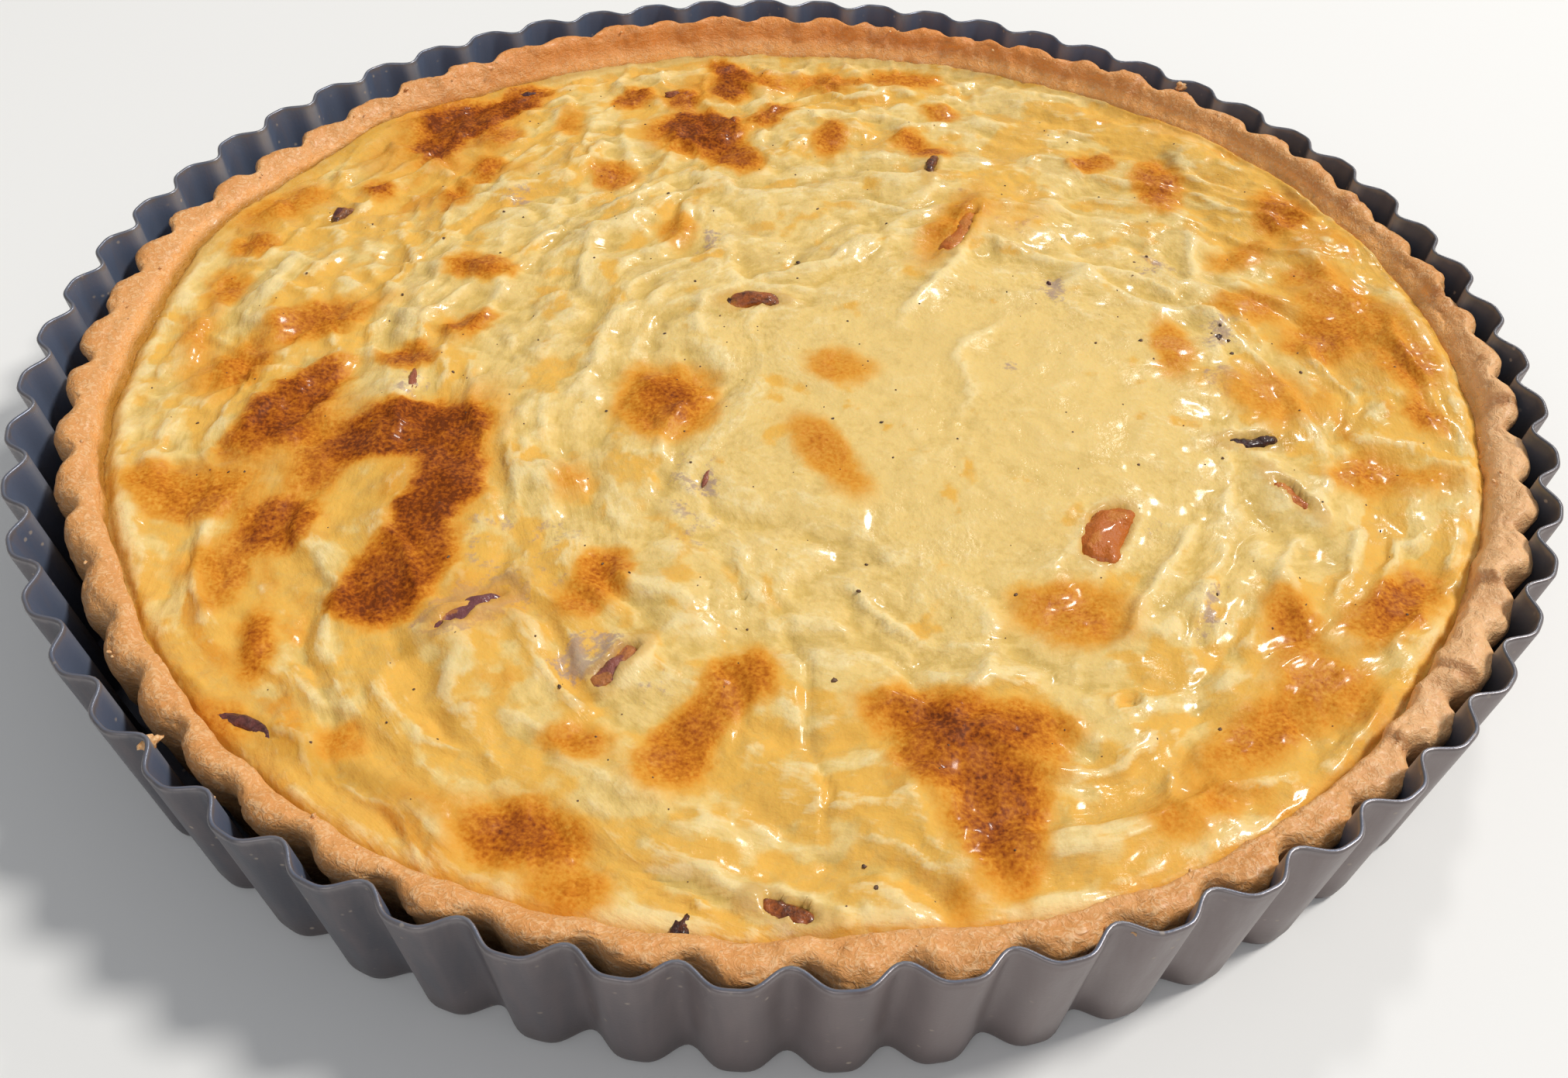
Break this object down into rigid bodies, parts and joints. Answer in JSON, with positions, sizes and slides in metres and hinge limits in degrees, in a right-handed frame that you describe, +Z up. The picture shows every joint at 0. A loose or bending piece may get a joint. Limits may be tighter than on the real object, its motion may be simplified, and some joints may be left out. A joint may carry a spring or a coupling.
{
  "type": "quiche",
  "caption": "Whole baked quiche in its fluted metal tart tin: a shrunken pastry crust holds a browned, wrinkled egg custard with bacon half sunk in it.",
  "frame": {"origin": "middle of the tin's foot, on the surface that it stands on", "axes": "+Z up out of the quiche, -Y towards the side that faces the viewer, +X to the viewer's right"},
  "size_m": [0.2798, 0.2798, 0.0304],
  "materials": {
    "tin_coating": "dark grey non-stick coating, satin",
    "pastry": "baked shortcrust, matt and sandy, browner low down",
    "custard": "set egg custard with a glossy wrinkled skin, browned in patches",
    "bacon": "fried bacon, moist, red-brown"
  },
  "bodies": {
    "root": {"tin": "tin_coating", "crust": "pastry", "custard": "custard", "bacon_1": "bacon", "bacon_2": "bacon", "bacon_3": "bacon", "bacon_4": "bacon", "bacon_5": "bacon", "bacon_6": "bacon", "bacon_7": "bacon", "bacon_8": "bacon", "bacon_9": "bacon", "bacon_10": "bacon", "bacon_11": "bacon"}
  },
  "joints": []
}
